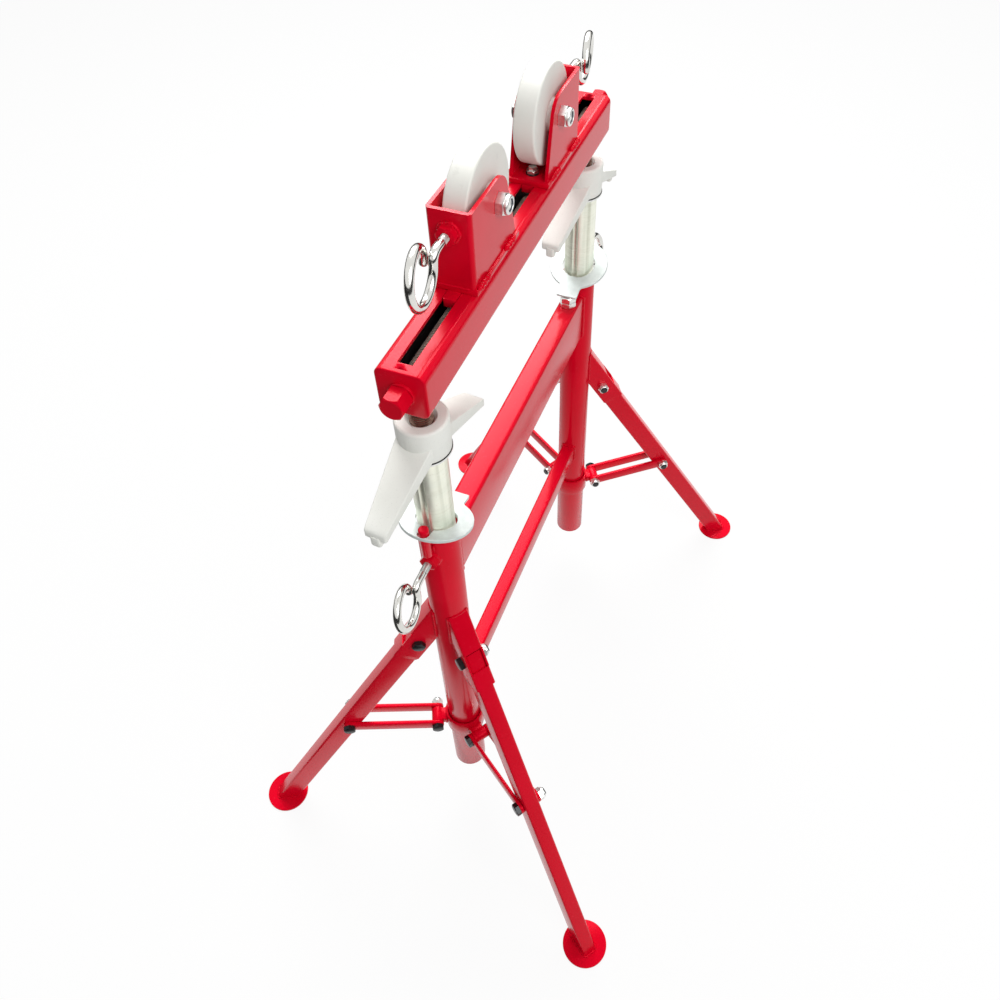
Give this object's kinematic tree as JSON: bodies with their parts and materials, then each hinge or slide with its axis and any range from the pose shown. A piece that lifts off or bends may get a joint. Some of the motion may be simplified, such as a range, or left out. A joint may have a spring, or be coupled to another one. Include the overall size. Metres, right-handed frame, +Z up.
{
  "type": "pipe jack stand",
  "caption": "Red folding pipe jack stand: twin columns, folding legs, lifting beam with wing nuts and two adjustable roller carriages",
  "frame": {"origin": "on the floor under the middle of the stand, midway between the two columns", "axes": "X along the beam from the near end to the far end, Y across the beam to the left, Z up"},
  "size_m": [0.9161, 0.6236, 1.0948],
  "materials": {
    "red_paint": "glossy deep red powder coat",
    "zinc": "bright zinc plate",
    "yellow_zinc": "pale yellowish-green zinc plate",
    "chrome": "bright plated steel",
    "cast": "light warm grey casting with a fine cast skin",
    "wheel_grey": "light warm grey coating, worn darker on the faces",
    "black_steel": "black oxide",
    "screw_steel": "dark oiled thread with brighter ends",
    "bush_steel": "plain machined steel"
  },
  "bodies": {
    "base": {"column_near": "red_paint", "column_far": "red_paint", "upper_crossbar": "red_paint", "lower_crossbar": "red_paint", "leg_brackets": "red_paint", "clamp_weld_nuts": "red_paint", "guide_pins": "red_paint", "plate_stop_bolts": "zinc", "leg_pivot_bolts": "black_steel"},
    "head": {"beam_tube": "red_paint", "beam_end_plates": "red_paint", "lift_screws": "screw_steel", "screw_bushes": "bush_steel"},
    "lead_screw_body": {"lead_screw": "screw_steel"},
    "lift_near": {"lift_tube_near": "yellow_zinc", "thrust_washer_near": "zinc"},
    "wing_near": {"wing_nut_near": "cast"},
    "carriage_near": {"carriage_bracket_near": "red_paint", "carriage_base_near": "red_paint", "lead_nut_near": "zinc", "brake_weld_nut_near": "red_paint", "axle_bolt_near": "zinc"},
    "roller_near": {"wheel_near": "wheel_grey", "wheel_bush_near": "bush_steel"},
    "brake_near": {"brake_eye_near": "chrome"},
    "clamp_near": {"clamp_eye_near": "chrome"},
    "plate_near": {"lock_plate_near": "zinc"},
    "collar_near_body": {"collar_near": "red_paint", "collar_bolts_near": "black_steel"},
    "lift_far": {"lift_tube_far": "yellow_zinc", "thrust_washer_far": "zinc"},
    "wing_far": {"wing_nut_far": "cast"},
    "carriage_far": {"carriage_bracket_far": "red_paint", "carriage_base_far": "red_paint", "lead_nut_far": "zinc", "brake_weld_nut_far": "red_paint", "axle_bolt_far": "zinc"},
    "roller_far": {"wheel_far": "wheel_grey", "wheel_bush_far": "bush_steel"},
    "brake_far": {"brake_eye_far": "chrome"},
    "clamp_far": {"clamp_eye_far": "chrome"},
    "plate_far": {"lock_plate_far": "zinc"},
    "collar_far_body": {"collar_far": "red_paint", "collar_bolts_far": "black_steel"},
    "leg_near_left_body": {"leg_near_left": "red_paint", "foot_near_left": "red_paint"},
    "link_near_left_body": {"link_near_left": "red_paint", "link_bolt_near_left": "black_steel"},
    "leg_near_right_body": {"leg_near_right": "red_paint", "foot_near_right": "red_paint"},
    "link_near_right_body": {"link_near_right": "red_paint", "link_bolt_near_right": "black_steel"},
    "leg_far_left_body": {"leg_far_left": "red_paint", "foot_far_left": "red_paint"},
    "link_far_left_body": {"link_far_left": "red_paint", "link_bolt_far_left": "black_steel"},
    "leg_far_right_body": {"leg_far_right": "red_paint", "foot_far_right": "red_paint"},
    "link_far_right_body": {"link_far_right": "red_paint", "link_bolt_far_right": "black_steel"}
  },
  "joints": [
    {"name": "lift_near_slide", "type": "slide", "parent": "base", "child": "lift_near", "axis": [0, 0, 1], "range_m": [-0.06, 0.2]},
    {"name": "lift_far_slide", "type": "slide", "parent": "base", "child": "lift_far", "axis": [0, 0, 1], "range_m": [-0.06, 0.2]},
    {"name": "wing_near_turn", "type": "hinge", "parent": "lift_near", "child": "wing_near", "pos_m": [-0.25, 0, 0.87], "axis": [0, 0, 1], "range_deg": [-720, 2880]},
    {"name": "wing_far_turn", "type": "hinge", "parent": "lift_far", "child": "wing_far", "pos_m": [0.25, 0, 0.87], "axis": [0, 0, 1], "range_deg": [-720, 2880]},
    {"name": "head_lift", "type": "slide", "parent": "lift_near", "child": "head", "axis": [0, 0, 1], "range_m": [-0.012, 0.048]},
    {"name": "lead_screw_turn", "type": "hinge", "parent": "head", "child": "lead_screw_body", "pos_m": [0, 0, 0.9491], "axis": [1, 0, 0], "range_deg": [-1530, 3600]},
    {"name": "carriage_near_slide", "type": "slide", "parent": "head", "child": "carriage_near", "axis": [-1, 0, 0], "range_m": [-0.034, 0.08]},
    {"name": "roller_near_spin", "type": "hinge", "parent": "carriage_near", "child": "roller_near", "pos_m": [-0.09, 0, 1.04], "axis": [0, 1, 0], "continuous": true},
    {"name": "brake_near_turn", "type": "hinge", "parent": "carriage_near", "child": "brake_near", "pos_m": [-0.2173, 0, 1.043], "axis": [1, 0, 0], "range_deg": [-720, 720]},
    {"name": "clamp_near_turn", "type": "hinge", "parent": "base", "child": "clamp_near", "pos_m": [-0.3394, 0, 0.683], "axis": [1, 0, 0], "range_deg": [-720, 720]},
    {"name": "plate_near_tilt", "type": "hinge", "parent": "base", "child": "plate_near", "pos_m": [-0.202, 0, 0.7087], "axis": [0, -1, 0], "range_deg": [0, 2.3]},
    {"name": "carriage_far_slide", "type": "slide", "parent": "head", "child": "carriage_far", "axis": [1, 0, 0], "range_m": [-0.034, 0.08]},
    {"name": "roller_far_spin", "type": "hinge", "parent": "carriage_far", "child": "roller_far", "pos_m": [0.09, 0, 1.04], "axis": [0, 1, 0], "continuous": true},
    {"name": "brake_far_turn", "type": "hinge", "parent": "carriage_far", "child": "brake_far", "pos_m": [0.2423, 0, 1.043], "axis": [1, 0, 0], "range_deg": [-720, 720]},
    {"name": "clamp_far_turn", "type": "hinge", "parent": "base", "child": "clamp_far", "pos_m": [0.3394, 0, 0.683], "axis": [1, 0, 0], "range_deg": [-720, 720]},
    {"name": "plate_far_tilt", "type": "hinge", "parent": "base", "child": "plate_far", "pos_m": [0.202, 0, 0.7087], "axis": [0, 1, 0], "range_deg": [0, 2.3]},
    {"name": "leg_near_left_fold", "type": "hinge", "parent": "base", "child": "leg_near_left_body", "pos_m": [-0.27006, 0.04095, 0.481], "axis": [-0.898, -0.4399, 0], "range_deg": [0, 22]},
    {"name": "leg_near_right_fold", "type": "hinge", "parent": "base", "child": "leg_near_right_body", "pos_m": [-0.27609, -0.0374, 0.481], "axis": [0.8202, -0.5721, 0], "range_deg": [0, 22]},
    {"name": "collar_near_slide", "type": "slide", "parent": "base", "child": "collar_near_body", "axis": [0, 0, -1], "range_m": [0, 0.13661]},
    {"name": "link_near_left_swing", "type": "hinge", "parent": "collar_near_body", "child": "link_near_left_body", "pos_m": [-0.26835, 0.03745, 0.2385], "axis": [0.898, 0.4399, 0], "range_deg": [0, 64.46]},
    {"name": "link_near_right_swing", "type": "hinge", "parent": "collar_near_body", "child": "link_near_right_body", "pos_m": [-0.27386, -0.0342, 0.2385], "axis": [-0.8202, 0.5721, 0], "range_deg": [0, 64.46]},
    {"name": "leg_far_left_fold", "type": "hinge", "parent": "base", "child": "leg_far_left_body", "pos_m": [0.27162, 0.04015, 0.481], "axis": [-0.8805, 0.4741, 0], "range_deg": [0, 22]},
    {"name": "leg_far_right_fold", "type": "hinge", "parent": "base", "child": "leg_far_right_body", "pos_m": [0.27396, -0.0388, 0.481], "axis": [0.8508, 0.5255, 0], "range_deg": [0, 22]},
    {"name": "collar_far_slide", "type": "slide", "parent": "base", "child": "collar_far_body", "axis": [0, 0, -1], "range_m": [0, 0.13661]},
    {"name": "link_far_left_swing", "type": "hinge", "parent": "collar_far_body", "child": "link_far_left_body", "pos_m": [0.26977, 0.03672, 0.2385], "axis": [0.8805, -0.4741, 0], "range_deg": [0, 64.46]},
    {"name": "link_far_right_swing", "type": "hinge", "parent": "collar_far_body", "child": "link_far_right_body", "pos_m": [0.27191, -0.03548, 0.2385], "axis": [-0.8508, -0.5255, 0], "range_deg": [0, 64.46]}
  ],
  "couplings": [
    {"joint": "lift_far_slide", "follows": "lift_near_slide", "ratio": 1},
    {"joint": "wing_far_turn", "follows": "wing_near_turn", "ratio": 1},
    {"joint": "head_lift", "follows": "wing_near_turn", "m_per_rad": 0.00095493},
    {"joint": "carriage_near_slide", "follows": "lead_screw_turn", "m_per_rad": 0.0012732},
    {"joint": "carriage_far_slide", "follows": "lead_screw_turn", "m_per_rad": 0.0012732},
    {"joint": "leg_near_right_fold", "follows": "leg_near_left_fold", "ratio": 1},
    {"joint": "collar_near_slide", "follows": "leg_near_left_fold", "m_per_rad": 0.35577},
    {"joint": "link_near_left_swing", "follows": "leg_near_left_fold", "ratio": 2.9295},
    {"joint": "link_near_right_swing", "follows": "leg_near_left_fold", "ratio": 2.9295},
    {"joint": "leg_far_right_fold", "follows": "leg_far_left_fold", "ratio": 1},
    {"joint": "collar_far_slide", "follows": "leg_far_left_fold", "m_per_rad": 0.35577},
    {"joint": "link_far_left_swing", "follows": "leg_far_left_fold", "ratio": 2.9295},
    {"joint": "link_far_right_swing", "follows": "leg_far_left_fold", "ratio": 2.9295}
  ]
}
